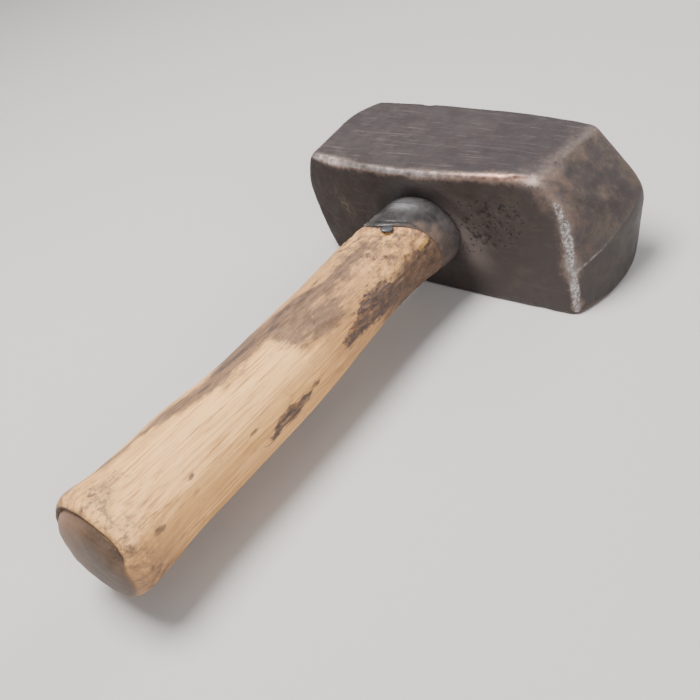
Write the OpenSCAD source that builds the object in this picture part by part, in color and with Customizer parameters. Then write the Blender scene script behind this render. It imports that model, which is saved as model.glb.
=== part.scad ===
// Brick hammer: a short club hammer with a heavy double-faced steel head,
// a wooden handle wedged through an oval eye, and a nailed steel collar at the neck.
// Frame: the head lies on its lower cheek on z = 0, its length runs along X,
// the handle leaves the eye towards -Y, and the origin is the cheek's centre under the eye.

/* [Head] */

// Length over the two crowned striking ends
head_length = 119; // [100:1:140]

// Height between the two flat cheeks
head_height = 46; // [38:0.5:52]

// Depth along the handle at the middle of the head, where its sides bulge
head_depth = 45; // [44:0.5:60]

// How far each side is drawn in at the ends of the head
side_bulge = 3.25; // [0.5:0.25:6]

// Depth of the crown worn and ground onto each striking end
crown_depth = 8.5; // [3:0.25:12]

// Radius of the four long edges
long_edge = 3.5; // [1:0.25:8]

// Depth of the bevel where the crown meets the sides
side_bevel = 0.8; // [0.2:0.1:3]

// Depth of the bevel where the crown meets the cheeks
cheek_bevel = 1.4; // [0.2:0.1:3]

/* [Eye] */

// Length of the oval eye, along the head
eye_length = 24.4; // [20:0.2:32]

// Width of the oval eye, across the head
eye_width = 18; // [14:0.2:24]

/* [Handle] */

// Distance from the middle of the eye to the end of the butt
handle_reach = 172.5; // [140:0.5:260]

// Half of the oval's extra length along the head
oval_offset = 2; // [0:0.25:4]

// Half thickness of the wood just past the collar
neck_radius = 11.5; // [10:0.25:15]

// Half thickness of the wood in the grip
grip_radius = 12.7; // [11:0.25:16]

// Half thickness of the flared butt
butt_radius = 14.3; // [12:0.25:18]

// Radius of the butt's rim
butt_rim = 3; // [1.5:0.25:6]

// How far the tenon stands proud of the far side of the head
tenon_proud = 1.5; // [0:0.25:4]

/* [Collar] */

// Length of the steel collar along the middle of the handle
collar_length = 13; // [8:0.5:24]

// Slant of the collar's rim, longer over the upper cheek side
rim_slant = 24; // [0:1:35]

// Half thickness of the wood inside the collar
seat_radius = 10.6; // [10:0.1:14]

// Half thickness over the collar at its rim
collar_rim_radius = 12.1; // [11:0.1:16]

// Half thickness over the collar's swollen shoulder
collar_shoulder_radius = 13.3; // [12:0.1:17]

// Radius of the nail's shank
nail_radius = 1.1; // [0.8:0.1:2]

// Length of the nail's shank below the head
nail_length = 9; // [5:0.5:14]

// Radius of the nail's domed head
nail_head_radius = 2.3; // [1.5:0.1:4]

// Height of the nail's domed head above the collar
nail_head_height = 1.4; // [0.8:0.1:2.4]

// Distance of the nail from the collar's rim
nail_inset = 2; // [1.6:0.1:6]

// Distance of the nail from the middle of the handle, along the head
nail_offset = 1.5; // [-2:0.1:2]

/* [Wedges] */

// Thickness of the wooden wedge at the end of the tenon
wood_wedge_thick = 4.6; // [2:0.1:7]

// Thickness of the wooden wedge at its tip
wood_wedge_tip = 1.2; // [0.6:0.1:2]

// Length of the wooden wedge
wood_wedge_length = 30; // [16:1:40]

// Thickness of each steel wedge at the end of the tenon
steel_wedge_thick = 2.8; // [1.5:0.1:4]

// Thickness of each steel wedge at its tip
steel_wedge_tip = 0.6; // [0.4:0.1:1]

// Length of each steel wedge
steel_wedge_length = 15; // [8:1:24]

// Width of each steel wedge, across the eye
steel_wedge_width = 13; // [8:0.5:16]

// Distance of each steel wedge from the middle of the eye
steel_wedge_offset = 6; // [4:0.25:9]

// How far each steel wedge stands proud of the tenon
steel_wedge_proud = 0.4; // [0:0.1:1.5]

/* [Hidden] */

$fn = 64;
small_facets = 32;
crown_facets = 128;
side_facets = 256;

// Middle of the head above the resting cheek.
mid_z = head_height / 2;

half_length = head_length / 2;
half_height = head_height / 2;
half_depth = head_depth / 2;
end_half_depth = half_depth - side_bulge;
end_half_length = half_length - crown_depth;

// Radius of the long arc that bulges each side around the eye.
bulge_radius =
    (end_half_length * end_half_length + side_bulge * side_bulge) / (2 * side_bulge);
bulge_centre = bulge_radius - half_depth;

// Radii of the crown seen from above and seen along the handle.
plan_crown =
    (end_half_depth * end_half_depth + crown_depth * crown_depth) / (2 * crown_depth);
side_crown =
    (half_height * half_height + crown_depth * crown_depth) / (2 * crown_depth);

eye_radius = eye_width / 2;
eye_offset = (eye_length - eye_width) / 2;

tenon_end = half_depth + tenon_proud;
collar_end = half_depth + collar_length;
rim_lead = collar_rim_radius * tan(rim_slant);

// The tenon runs this far on into the seat, past the near side of the head.
tenon_root = 4;

// The collar's outline starts this far inside the head, then swells to its shoulder and slims to its rim.
collar_root = 2;
shoulder_at = 5;
shoulder_tuck = 1.7;
shoulder_run = 9.5;
collar_steps = 12;

// The nail's head is a dome of this radius, sunk a little into the collar, and its shank runs up into it.
nail_dome = 3.6;
nail_head_sink = 1;
nail_overlap = 0.4;
nail_y = -(collar_end + rim_lead - nail_inset);

// The neck grows to the grip over the first half of its run, and the butt flares over the last part.
grip_start = collar_end - rim_lead - 2;
grip_run = handle_reach - butt_rim - grip_start;
grip_full = 0.5;
flare_from = 0.55;
flare_power = 1.6;
grip_steps = 24;
rim_steps = 6;

steel = [0.46, 0.44, 0.43];
dark_steel = [0.36, 0.37, 0.40];
wood = [0.78, 0.62, 0.44];
wedge_wood = [0.60, 0.44, 0.28];

// Ease from 0 to 1 with flat ends.
function ease(t) =
    let (c = min(1, max(0, t)))
    c * c * (3 - 2 * c);

// Half thickness over the collar at distance d from the near side of the head.
function collar_radius(d) =
    d < shoulder_at
        ? collar_shoulder_radius - shoulder_tuck * pow(1 - d / shoulder_at, 2)
        : collar_shoulder_radius
            - (collar_shoulder_radius - collar_rim_radius) * ease((d - shoulder_at) / shoulder_run);

collar_outline_run = collar_root + shoulder_at + shoulder_run;
collar_profile = concat(
    [[0, half_depth - collar_root]],
    [for (i = [0:collar_steps])
        let (d = collar_outline_run * i / collar_steps - collar_root)
        [collar_radius(d), half_depth + d]],
    [
        [collar_rim_radius, collar_end + 2 * rim_lead],
        [0, collar_end + 2 * rim_lead]
    ]
);

// Half thickness of the wood at part t of the way from the neck to the butt's rim.
function wood_radius(t) =
    neck_radius + (grip_radius - neck_radius) * ease(t / grip_full)
        + (butt_radius - grip_radius) * pow(max(0, (t - flare_from) / (1 - flare_from)), flare_power);

wood_profile = concat(
    [[0, grip_start]],
    [for (i = [0:grip_steps]) [wood_radius(i / grip_steps), grip_start + grip_run * i / grip_steps]],
    [for (i = [1:rim_steps])
        [
            butt_radius - butt_rim * (1 - cos(90 * i / rim_steps)),
            handle_reach - butt_rim + butt_rim * sin(90 * i / rim_steps)
        ]],
    [[0, handle_reach]]
);

// Limit of one crowned end: everything inside a crown of radius r that peaks at the head's end.
module crown_limit(r) {
    centre_x = half_length - r;
    translate([centre_x, 0]) circle(r = r, $fn = crown_facets);
    translate([-head_length, -head_length]) square([head_length + centre_x, 2 * head_length]);
}

module both_crowns(r) {
    intersection() {
        crown_limit(r);
        mirror([1, 0]) crown_limit(r);
    }
}

// The same thing at all four corners of an outline.
module four_corners() {
    for (mx = [0, 1])
        for (my = [0, 1])
            mirror([mx, 0])
                mirror([0, my])
                    children();
}

// Waste beyond a flat bevel that takes depth off a corner at v, square to the direction angle.
module bevel_waste(v, angle, depth) {
    translate(v)
        rotate(angle)
            translate([-depth, -head_height])
                square([head_height, 2 * head_height]);
}

// The head seen from above: two bulged sides and two crowned ends, corners bevelled.
module plan_outline() {
    side_facing = 90 - asin(end_half_length / bulge_radius);
    crown_facing = asin(end_half_depth / plan_crown);
    difference() {
        intersection() {
            translate([0, -bulge_centre]) circle(r = bulge_radius, $fn = side_facets);
            translate([0, bulge_centre]) circle(r = bulge_radius, $fn = side_facets);
            both_crowns(plan_crown);
        }
        four_corners()
            bevel_waste([end_half_length, end_half_depth], (side_facing + crown_facing) / 2, side_bevel);
    }
}

// The head seen along the handle: two flat cheeks and two crowned ends, corners bevelled.
module side_outline() {
    crown_facing = asin(half_height / side_crown);
    difference() {
        intersection() {
            square([2 * head_length, head_height], center = true);
            both_crowns(side_crown);
        }
        four_corners()
            bevel_waste([end_half_length, half_height], (90 + crown_facing) / 2, cheek_bevel);
    }
}

// The head seen from one end: a square with rounded corners.
module end_outline() {
    w = head_depth - 2 * long_edge;
    h = head_height - 2 * long_edge;
    square([head_depth, h], center = true);
    square([w, head_height], center = true);
    for (sx = [-1, 1])
        for (sz = [-1, 1])
            translate([sx * w / 2, sz * h / 2]) circle(r = long_edge);
}

// Oval outline with straight flanks: half thickness r, centres e either side.
module oval(r, e) {
    square([2 * e, 2 * r], center = true);
    translate([e, 0]) circle(r = r);
    translate([-e, 0]) circle(r = r);
}

// Oval bar along Y, from y = from down to y = from - length.
module oval_bar(r, e, from, length) {
    translate([0, from, 0])
        rotate([90, 0, 0])
            linear_extrude(length)
                oval(r, e);
}

// Oval turned body: half profile of [radius, distance towards the butt] points.
module oval_turned(profile, e) {
    for (s = [-1, 1])
        translate([s * e, 0, 0])
            rotate([90, 0, 0])
                rotate_extrude()
                    polygon(profile);
    translate([-e, 0, 0])
        rotate([180, -90, 0])
            linear_extrude(2 * e) {
                polygon(profile);
                mirror([1, 0]) polygon(profile);
            }
}

// Wedge that tapers away from y = top, thick along the first axis of its outline.
module wedge_outline(top, length, thick, tip) {
    polygon([
        [-thick / 2, top],
        [thick / 2, top],
        [tip / 2, top - length],
        [-tip / 2, top - length]
    ]);
}

// Everything on the head's side of its bulged near face.
module near_face_body() {
    translate([0, bulge_centre, -head_height])
        linear_extrude(2 * head_height)
            circle(r = bulge_radius, $fn = side_facets);
}

module eye_bar() {
    oval_bar(eye_radius, eye_offset, head_depth, 2 * head_depth);
}

// Everything on the butt's side of the collar's slanted rim.
module beyond_rim() {
    translate([0, -collar_end, 0])
        rotate([rim_slant, 0, 0])
            translate([-handle_reach, -2 * handle_reach, -handle_reach])
                cube(2 * handle_reach);
}

module nail_shank() {
    translate([nail_offset, nail_y, collar_rim_radius - nail_length])
        cylinder(h = nail_length + nail_overlap, r = nail_radius, $fn = small_facets);
}

module nail_head() {
    intersection() {
        translate([nail_offset, nail_y, collar_rim_radius + nail_head_height - nail_dome])
            sphere(r = nail_dome);
        translate([nail_offset, nail_y, collar_rim_radius - nail_head_sink])
            cylinder(h = 2 * nail_dome, r = nail_head_radius);
    }
}

module head() {
    color(steel)
        translate([0, 0, mid_z])
            difference() {
                intersection() {
                    translate([0, 0, -head_height])
                        linear_extrude(2 * head_height)
                            plan_outline();
                    translate([0, head_depth, 0])
                        rotate([90, 0, 0])
                            linear_extrude(2 * head_depth)
                                side_outline();
                    translate([-head_length, 0, 0])
                        rotate([90, 0, 90])
                            linear_extrude(2 * head_length)
                                end_outline();
                }
                eye_bar();
            }
}

module steel_wedge(x, end, length) {
    translate([x, 0, -steel_wedge_width / 2])
        linear_extrude(steel_wedge_width)
            wedge_outline(end, length, steel_wedge_thick, steel_wedge_tip);
}

module wood_wedge_body() {
    intersection() {
        translate([-eye_length, 0, 0])
            rotate([180, -90, 0])
                linear_extrude(2 * eye_length)
                    mirror([0, 1])
                        wedge_outline(tenon_end, wood_wedge_length, wood_wedge_thick, wood_wedge_tip);
        eye_bar();
    }
}

module handle() {
    color(wood)
        translate([0, 0, mid_z])
            difference() {
                union() {
                    oval_bar(eye_radius, eye_offset, tenon_end, tenon_end + half_depth + tenon_root);
                    difference() {
                        oval_bar(seat_radius, oval_offset, 0, collar_end + 2 * rim_lead);
                        near_face_body();
                    }
                    intersection() {
                        oval_turned(wood_profile, oval_offset);
                        beyond_rim();
                    }
                }
                wood_wedge_body();
                steel_wedge(-steel_wedge_offset, tenon_end, steel_wedge_length);
                steel_wedge(steel_wedge_offset, tenon_end, steel_wedge_length);
                nail_shank();
            }
}

module collar() {
    color(dark_steel)
        translate([0, 0, mid_z])
            difference() {
                oval_turned(collar_profile, oval_offset);
                oval_bar(seat_radius, oval_offset, 0, 2 * collar_end);
                near_face_body();
                beyond_rim();
                nail_shank();
            }
}

module collar_nail() {
    color(dark_steel)
        translate([0, 0, mid_z]) {
            nail_shank();
            difference() {
                nail_head();
                oval_turned(collar_profile, oval_offset);
            }
        }
}

module wood_wedge() {
    color(wedge_wood)
        translate([0, 0, mid_z])
            difference() {
                wood_wedge_body();
                steel_wedge(-steel_wedge_offset, tenon_end, steel_wedge_length);
                steel_wedge(steel_wedge_offset, tenon_end, steel_wedge_length);
            }
}

// The wedge itself, plus the part of it that stands proud with parallel sides.
module driven_wedge(x) {
    steel_wedge(x, tenon_end, steel_wedge_length);
    translate([x - steel_wedge_thick / 2, tenon_end, -steel_wedge_width / 2])
        cube([steel_wedge_thick, steel_wedge_proud, steel_wedge_width]);
}

module steel_wedge_left() {
    color(steel)
        translate([0, 0, mid_z])
            driven_wedge(-steel_wedge_offset);
}

module steel_wedge_right() {
    color(steel)
        translate([0, 0, mid_z])
            driven_wedge(steel_wedge_offset);
}

head();
handle();
collar();
collar_nail();
wood_wedge();
steel_wedge_left();
steel_wedge_right();
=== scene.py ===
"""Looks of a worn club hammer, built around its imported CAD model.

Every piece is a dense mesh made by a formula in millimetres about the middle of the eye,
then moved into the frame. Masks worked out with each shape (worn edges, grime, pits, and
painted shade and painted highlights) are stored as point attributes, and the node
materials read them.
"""

import math

import bmesh
import bpy
import numpy as np
from mathutils import Matrix, Vector


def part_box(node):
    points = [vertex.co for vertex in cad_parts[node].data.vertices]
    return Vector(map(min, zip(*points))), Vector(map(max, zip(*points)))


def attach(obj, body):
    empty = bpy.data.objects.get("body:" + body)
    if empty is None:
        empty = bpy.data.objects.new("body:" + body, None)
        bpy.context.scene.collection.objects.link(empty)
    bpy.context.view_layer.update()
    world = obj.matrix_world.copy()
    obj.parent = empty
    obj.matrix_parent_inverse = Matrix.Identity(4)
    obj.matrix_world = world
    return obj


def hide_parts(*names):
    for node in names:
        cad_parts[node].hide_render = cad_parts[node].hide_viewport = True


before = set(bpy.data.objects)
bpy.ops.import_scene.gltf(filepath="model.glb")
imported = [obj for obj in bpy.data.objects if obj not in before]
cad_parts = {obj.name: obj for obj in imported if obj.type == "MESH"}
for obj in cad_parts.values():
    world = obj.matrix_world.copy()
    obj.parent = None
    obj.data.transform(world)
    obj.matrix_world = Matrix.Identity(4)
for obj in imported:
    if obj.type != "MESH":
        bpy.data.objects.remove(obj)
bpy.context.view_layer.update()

MM = 0.001
BODY = "root"

# ---- Sizes from the frame, in millimetres. The model's centre is the middle of the eye.


def node_box(node):
    low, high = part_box(node)
    return np.array(low) / MM, np.array(high) / MM


HEAD_LOW, HEAD_HIGH = node_box("head")
HANDLE_LOW, HANDLE_HIGH = node_box("handle")
WEDGE_HIGH = node_box("wood_wedge")[1]
STEEL_HIGH = node_box("steel_wedge_right")[1]

MID_Z = (HEAD_LOW[2] + HEAD_HIGH[2]) / 2
HALF_LENGTH = HEAD_HIGH[0]
HALF_DEPTH = HEAD_HIGH[1]
HALF_HEIGHT = MID_Z - HEAD_LOW[2]
TENON_END = HANDLE_HIGH[1]
BUTT_END = -HANDLE_LOW[1]
EYE_ROUND = 9.0
EYE_STRAIGHT = WEDGE_HIGH[0] - EYE_ROUND


# ---- Noise, the same on every run


def hash01(ix, iy, iz, seed):
    """Repeatable value from 0 to 1 for each lattice point."""
    n = (ix * 374761393 + iy * 668265263 + iz * 2147483647 + seed * 974634777) & 0xFFFFFFFF
    n = ((n ^ (n >> 13)) * 1274126177) & 0xFFFFFFFF
    n = ((n ^ (n >> 16)) * 2246822519) & 0xFFFFFFFF
    return ((n ^ (n >> 15)) & 0xFFFFFF) / float(0xFFFFFF)


def noise(p, size, seed):
    """Smooth noise from -1 to 1 with features of about the given size."""
    q = p / np.asarray(size, float)
    cell = np.floor(q).astype(np.int64)
    t = q - cell
    t = t * t * t * (t * (6 * t - 15) + 10)
    total = np.zeros(len(q))
    for dx in (0, 1):
        wx = t[:, 0] if dx else 1 - t[:, 0]
        for dy in (0, 1):
            wy = t[:, 1] if dy else 1 - t[:, 1]
            for dz in (0, 1):
                wz = t[:, 2] if dz else 1 - t[:, 2]
                corner = hash01(cell[:, 0] + dx, cell[:, 1] + dy, cell[:, 2] + dz, seed)
                total += wx * wy * wz * corner
    return total * 2 - 1


def fractal(p, size, seed, octaves=4, gain=0.5):
    """Noise added up over finer and finer sizes."""
    size = np.asarray(size, float)
    total, weight, scale = np.zeros(len(p)), 1.0, 1.0
    for i in range(octaves):
        total += weight * noise(p, size * scale, seed + 17 * i)
        weight *= gain
        scale *= 0.5
    return total


def cells(p, size, seed):
    """Distance to the nearest scattered point, in cell sizes, and a value per point."""
    q = p / np.asarray(size, float)
    base = np.floor(q).astype(np.int64)
    best = np.full(len(q), 9.0)
    value = np.zeros(len(q))
    for dx in (-1, 0, 1):
        for dy in (-1, 0, 1):
            for dz in (-1, 0, 1):
                c = base + np.array([dx, dy, dz])
                centre = c + np.stack(
                    [hash01(c[:, 0], c[:, 1], c[:, 2], seed + k) for k in (0, 1, 2)], 1
                )
                d = np.linalg.norm(q - centre, axis=1)
                near = d < best
                best = np.where(near, d, best)
                value = np.where(near, hash01(c[:, 0], c[:, 1], c[:, 2], seed + 3), value)
    return best, value


def step(low, high, x):
    """Smooth step from 0 at low to 1 at high, which may be lower than low."""
    t = np.clip((x - low) / (high - low), 0, 1)
    return t * t * (3 - 2 * t)


def bump(centre, width, x):
    """Soft bump: 1 at the centre, about a third at the width."""
    return np.exp(-(((x - centre) / width) ** 2))


def blob(p, centre, reach):
    """Soft bump in space, with its own reach along X, Y and Z."""
    return np.exp(-(((p - np.array(centre)) / np.array(reach)) ** 2).sum(axis=1))


def circle(columns):
    return np.linspace(0, 2 * math.pi, columns, endpoint=False)


def smooth_max(a, b, k):
    """The larger of two, blended over a band of width k."""
    h = np.maximum(k - np.abs(a - b), 0) / k
    return np.maximum(a, b) + h * h * k * 0.25


# ---- Mesh helpers


def paint_masks(mesh, masks):
    for key, values in masks.items():
        layer = mesh.attributes.get(key) or mesh.attributes.new(key, "FLOAT", "POINT")
        layer.data.foreach_set("value", np.asarray(values, np.float32))


def make_object(name, points, faces, masks=None):
    """Mesh piece from points in millimetres about the eye's middle."""
    mesh = bpy.data.meshes.new(name)
    world = (np.asarray(points) + np.array([0, 0, MID_Z])) * MM
    mesh.from_pydata(world.tolist(), [], faces)
    paint_masks(mesh, masks or {})
    shape = bmesh.new()
    shape.from_mesh(mesh)
    if shape.calc_volume(signed=True) < 0:
        bmesh.ops.reverse_faces(shape, faces=shape.faces)
        shape.to_mesh(mesh)
    shape.free()
    mesh.update()
    obj = bpy.data.objects.new(name, mesh)
    bpy.context.scene.collection.objects.link(obj)
    mesh.shade_smooth()
    return obj


def grid_faces(rows, columns, closed_rows=False):
    """Quads of a grid joined around its columns, and from the last row to the first if asked."""
    faces = []
    for i in range(rows if closed_rows else rows - 1):
        a, b = i * columns, (i + 1) % rows * columns
        for j in range(columns):
            k = (j + 1) % columns
            faces.append((a + j, a + k, b + k, b + j))
    return faces


def loft(name, rings, masks=None):
    """Closed tube through rings, an array of rows by columns by 3, with fans on its ends."""
    rows, columns = rings.shape[:2]
    centres = np.stack([rings[0].mean(0), rings[-1].mean(0)])
    points = np.concatenate([rings.reshape(-1, 3), centres])
    first, top = rows * columns, (rows - 1) * columns
    faces = grid_faces(rows, columns)
    faces += [(first, (j + 1) % columns, j) for j in range(columns)]
    faces += [(first + 1, top + j, top + (j + 1) % columns) for j in range(columns)]
    masks = {k: np.concatenate([v, [v[0], v[top]]]) for k, v in (masks or {}).items()}
    return make_object(name, points, faces, masks)


def box_sphere(half, spacing):
    """Points and quads covering a box about the origin, with its corners shared."""
    counts = [max(4, int(round(2 * h / spacing))) for h in half]
    index, points, faces = {}, [], []

    def point(i, j, k):
        key = (i, j, k)
        if key not in index:
            index[key] = len(points)
            points.append([(2 * a / n - 1) * h for a, n, h in zip(key, counts, half)])
        return index[key]

    for axis in range(3):
        u, v = [(1, 2), (2, 0), (0, 1)][axis]
        for side in (0, counts[axis]):
            for a in range(counts[u]):
                for b in range(counts[v]):
                    quad = []
                    for da, db in ((0, 0), (1, 0), (1, 1), (0, 1)):
                        key = [0, 0, 0]
                        key[axis], key[u], key[v] = side, a + da, b + db
                        quad.append(point(*key))
                    faces.append(tuple(quad if side else quad[::-1]))
    return np.array(points), faces


def normals_of(points, faces):
    """Outward normals at the points of a closed mesh of quads."""
    f = np.asarray(faces)
    n = np.cross(points[f[:, 2]] - points[f[:, 0]], points[f[:, 3]] - points[f[:, 1]])
    if (n * points[f].mean(axis=1)).sum() < 0:
        n = -n
    out = np.zeros_like(points)
    for corner in range(4):
        np.add.at(out, f[:, corner], n)
    return out / np.maximum(np.linalg.norm(out, axis=1, keepdims=True), 1e-9)


# ---- Head: a block of six soft faces, blended along its edges

HEAD_SPACING = 0.62
# Rings down the wall of the eye, and how much narrower it is in its middle.
WALL_ROWS = 14
WAIST = 0.35
EDGE_BLEND = 1.5
BEVEL_TURN = math.radians(48.7)
SIT = 0.6


def head_faces(p):
    """Signed distances to the near, far, top, bottom, right and left faces, below zero inside,
    and the height over the fold that runs across the struck end."""
    x, y, z = p[:, 0], p[:, 1], p[:, 2] + SIT
    to_right, to_left = np.maximum(x, 0) / 51.5, np.maximum(-x, 0) / 51.5
    near = -y - (22.25 - 4.3 * to_right**2 - 5.8 * to_left**2 - 3.2 * to_right**2 * z / 22)
    far = y - (22.0 + 0.014 * x - 3.0 * to_right**2 - 2.2 * to_left**2)
    top = z - (22.25 + 0.031 * x - 0.007 * y - 0.00157 * x * y - 2.5 * to_right**3)
    bottom = -z - (HALF_HEIGHT - SIT)
    fold = z + 2.4 - 0.3 * y
    lean = np.where(fold > 0, np.abs(fold), 0.5 * np.abs(fold)) / 22
    right = x - (58.6 + 0.195 * y * z / 22 - 5.3 * ((y - 9.1) / 22) ** 2 - lean)
    bevel = (x - 41.5 + 0.054 * y) * math.sin(BEVEL_TURN) + (z - 22.25) * math.cos(BEVEL_TURN)
    right = smooth_max(right, bevel, 5)
    left_plan = -x - (58.1 - 5.9 * ((y + 6) / 22) ** 2 - 0.3 * y * z / 22)
    left_side = -x - (58.1 + 0.083 * y - 8.2 * (z / 22) ** 2)
    left = smooth_max(left_plan, left_side, 4)
    return np.stack([near, far, top, bottom, right, left]), fold


def head_shape(p):
    (near, far, top, bottom, right, left), _ = head_faces(p)
    upper = smooth_max(near, top, EDGE_BLEND * 2)
    lower = smooth_max(far, bottom, EDGE_BLEND * 1.5)
    block = smooth_max(upper, lower, EDGE_BLEND)
    near_corner = step(4, -18, p[:, 1]) * step(4, 18, p[:, 2])
    near_edge = step(-1.5, 0, near - np.maximum(top, bottom))
    block = smooth_max(block, right, EDGE_BLEND * (1 + 1.0 * near_edge + 3.2 * near_corner))
    return smooth_max(block, left, 1.6)


def onto_head(start, direction, reach):
    """Where each line from start along direction leaves the head, found by halving 34 times."""
    low = np.zeros(len(start))
    high = np.full(len(start), float(reach))
    for _ in range(34):
        middle = (low + high) / 2
        inside = head_shape(start + direction * middle[:, None]) < 0
        low = np.where(inside, middle, low)
        high = np.where(inside, high, middle)
    return start + direction * ((low + high) / 2)[:, None]


def eye_distance(p):
    """Distance outside the eye's outline, its nearest point and the way out, in X and Z."""
    middle = np.clip(p[:, 0], -EYE_STRAIGHT, EYE_STRAIGHT)
    away = np.stack([p[:, 0] - middle, p[:, 2]], 1)
    length = np.maximum(np.linalg.norm(away, axis=1), 1e-6)
    unit = away / length[:, None]
    edge = np.stack([middle, np.zeros(len(p))], 1) + unit * EYE_ROUND
    return length - EYE_ROUND, edge, unit


# Worn edges by the faces that meet (near 0, far 1, top 2, bottom 3, right 4, left 5):
# width in mm and strength.
WORN = {
    (0, 2): (2.1, 1.10), (0, 4): (2.6, 0.92), (2, 4): (3.4, 0.40), (0, 5): (1.5, 0.38), (2, 5): (2.0, 0.5),
    (0, 3): (1.1, 0.45), (1, 2): (1.4, 0.42), (1, 3): (1.2, 0.55), (1, 4): (2.2, 0.55), (1, 5): (1.6, 0.5),
    (3, 4): (1.8, 0.5), (3, 5): (1.5, 0.45),
}


def head_relief(p):
    """How far the worn surface stands from the plain shape, and the masks that go with it."""
    faces, fold = head_faces(p)
    order = np.argsort(-faces, axis=0)
    first, second = order[0], order[1]
    rows = np.arange(len(p))
    gap = faces[first, rows] - faces[second, rows]
    low_face, high_face = np.minimum(first, second), np.maximum(first, second)
    near_f, far_f, top_f, bottom_f, right_f, left_f = [(first == i) * 1.0 for i in range(6)]
    x, y, z = p.T
    width = np.full(len(p), 1.2)
    strength = np.full(len(p), 0.3)
    for (a, b), (wide, strong) in WORN.items():
        met = (low_face == a) & (high_face == b)
        width = np.where(met, wide, width)
        strength = np.where(met, strong, strength)
    wander = fractal(p, 7, 301, 3)
    wear = strength * bump(0, width * (1 + 0.4 * wander), gap)
    corner_line = (low_face == 0) & (high_face == 4)
    wear *= 1 - 0.45 * corner_line * step(6, 11, z)
    # A bright patch on the near right corner, added to the wear: rubbed metal with a painted highlight on
    # it.
    wear = np.maximum(wear, (0.62 + 0.45 * wander) * blob(p, (45, -16.5, 19), (5, 3.5, 4)))
    # Painted highlights: a bright glint on the near right corner and along the near top edge towards the
    # left end.
    painted_glint = blob(p, (41, -16.8, 21.5), (3.2, 1.9, 1.7))
    painted_glint += bump(-39, 6, x) * bump(0, 1.6, gap) * (low_face == 0) * (high_face == 2)
    # The struck end's fold, plainest towards the near side, with duller metal under it.
    height = fold + 0.6 * fractal(p, 12, 306, 2)
    below = right_f * step(0.3, -0.5, height)
    # Pits: a field right of the handle on the near face, and a few strays.
    reach = np.hypot((x - 22) / 13, (z - 6) / 12) + 0.35 * fractal(p, 5, 311, 2)
    field = near_f * step(1.25, 0.55, reach)
    bent = p + 0.5 * np.stack([noise(p, 1.6, 316), noise(p, 1.6, 317), noise(p, 1.6, 318)], 1)
    d1, v1 = cells(bent, 2.4, 325)
    pits = field * step(0.44, 0.14, d1) * step(0.12, 0.40, v1)
    d2, v2 = cells(bent, 5.0, 331)
    stray = step(0.13, 0.04, d2) * step(0.50, 0.8, v2)
    # Chipped, burred metal on the near right corner.
    rough = fractal(p, (1.0, 1.0, 1.3), 341, 3)
    patchy = 0.55 + 0.45 * step(-0.35, 0.25, noise(p, (2, 2, 4.5), 346))
    burr = corner_line * bump(0, 0.95, gap + 0.6 * wander) * step(16.5, 11.5, z) * patchy
    d3, v3 = cells(bent, 9.0, 351)
    chip = step(0.36, 0.15, d3) * step(0.5, 0.75, v3) * bump(0, 2.2, gap)
    end = np.maximum(right_f, left_f)
    d4, v4 = cells(bent, 7.0, 361)
    struck = end * step(0.55, 0.1, d4) * (0.4 + 0.6 * v4)
    brushed = noise(p, (26.0, 1.1, 1.1), 371) * np.maximum(top_f, bottom_f)
    from_eye = eye_distance(p)[0]
    swell = near_f * bump(7.5, 2.6, from_eye) * (0.6 + 0.4 * step(-12, 12, x))
    relief = 0.14 * fractal(p, 22, 381, 3) + 0.035 * fractal(p, 3.4, 391, 3) + 0.42 * swell
    relief -= 0.40 * pits + 0.14 * stray + 0.30 * chip + 0.12 * struck
    relief += burr * (0.06 + 0.20 * rough) + 0.03 * brushed
    relief -= 0.45 * below * step(16, 2, y) * step(-9, -1, height)
    relief -= 0.08 * wear * (1 + wander)
    relief = np.minimum(relief, 0.5)
    # Painted shade round the eye on both faces, where the collar and the wedges meet the head, heavier
    # towards the upper left.
    shade_bias = 0.62 + 0.38 * (z - x) / np.maximum(np.hypot(x, z), 1)
    smudge = bump(-36, 3.0, x + 0.5 * z) * bump(2, 5.0, z) + 0.8 * bump(-41, 2.0, x) * bump(17, 1.8, z)
    return relief, {
        "wear": wear,
        "fold": right_f * bump(0.4, 0.55, height) * step(4, -12, y),
        "below": below,
        "pits": np.clip(pits + 0.8 * stray, 0, 1),
        "burr": burr,
        "rough": near_f * step(1.35, 0.7, reach),
        "shade_round_eye": (near_f * shade_bias + 0.8 * far_f) * np.exp(-np.maximum(from_eye - 3.5, 0) / 3.2),
        "end_side": end,
        "top_side": top_f,
        "near_side": near_f,
        "corner": blob(p, (47, -16, 20), (90**0.5,) * 3),
        "towards_end": step(-10, 35, x) * step(7, 15, z),
        "painted_glint": painted_glint,
        # Painted light on the near face right of the collar, lifting the shade there.
        "painted_fill_light": near_f * bump(15.5, 5.5, x + 0.35 * z) * bump(-1, 9, z),
        "smudge": near_f * smudge,
        # Painted shade on the near face towards its left end.
        "left_end_shade": near_f * step(8, -20, x),
    }


def soften_near_eye(points, faces, fixed, moving):
    """Evens out the spacing of the points round the eye, in X and Z."""
    f = faces[moving[faces].any(axis=1)]
    free = np.where(moving & ~fixed)[0][:, None]
    for _ in range(12):
        total = np.zeros((len(points), 2))
        count = np.zeros((len(points), 1))
        for a in range(4):
            for b in ((a + 1) % 4, (a - 1) % 4):
                np.add.at(total, f[:, a], points[f[:, b]][:, [0, 2]])
                np.add.at(count, f[:, a], 1)
        mean = total / np.maximum(count, 1)
        points[free, [0, 2]] += 0.6 * (mean[free, [0, 1]] - points[free, [0, 2]])


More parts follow.
